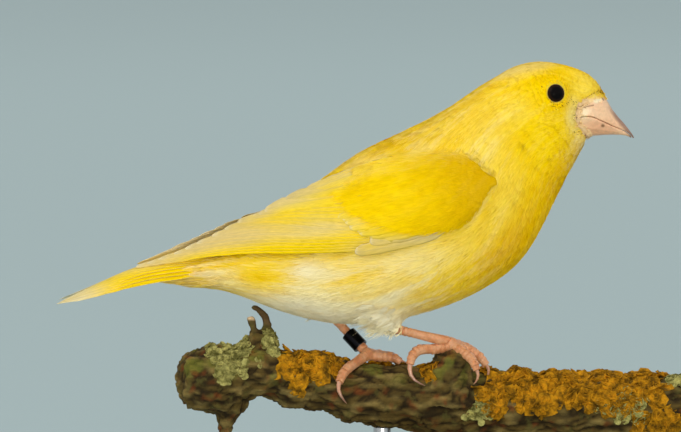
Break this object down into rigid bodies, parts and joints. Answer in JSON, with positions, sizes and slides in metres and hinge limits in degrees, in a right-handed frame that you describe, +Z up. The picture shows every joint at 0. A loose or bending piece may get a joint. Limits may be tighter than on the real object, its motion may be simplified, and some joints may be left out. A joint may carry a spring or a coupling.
{
  "type": "canary model",
  "caption": "Still life-size canary perched on a short cut length of branch, held by rods on an oval display base; pale bill and legs, yellow plumage, plain ring on the left leg.",
  "frame": {"origin": "centre of the underside of the oval display base", "axes": "+Z up; +X the way the bird faces, along the branch; +Y towards the bird's left side"},
  "size_m": [0.1424, 0.062, 0.1068],
  "materials": {
    "plumage": "soft yellow contour feathers",
    "belly": "fluffy cream belly and thigh feathers",
    "flight": "smooth pale yellow flight feathers with bright edges",
    "eye": "wet black",
    "bill": "pale pink horn with a darker ridge",
    "leg": "pink scaly skin",
    "claw": "pale translucent horn",
    "ring": "black anodised, worn at the rims",
    "bark": "rough olive brown bark with lichen",
    "base": "dark stained and waxed",
    "rod": "brushed"
  },
  "bodies": {
    "root": {"head": "plumage", "neck": "plumage", "torso": "plumage", "eye_right": "eye", "eye_left": "eye", "bill_upper": "bill", "bill_lower": "bill", "wing_right": "flight", "wing_left": "flight", "tail": "flight", "thigh_right": "belly", "thigh_left": "belly", "shank_right": "leg", "shank_left": "leg", "foot_right": "leg", "foot_left": "leg", "claw_right_hind": "claw", "claw_right_inner": "claw", "claw_right_middle": "claw", "claw_right_outer": "claw", "claw_left_hind": "claw", "claw_left_inner": "claw", "claw_left_middle": "claw", "claw_left_outer": "claw", "leg_ring": "ring", "perch_branch": "bark", "stand_rod_front": "rod", "stand_rod_back": "rod", "stand_base": "base"}
  },
  "joints": []
}
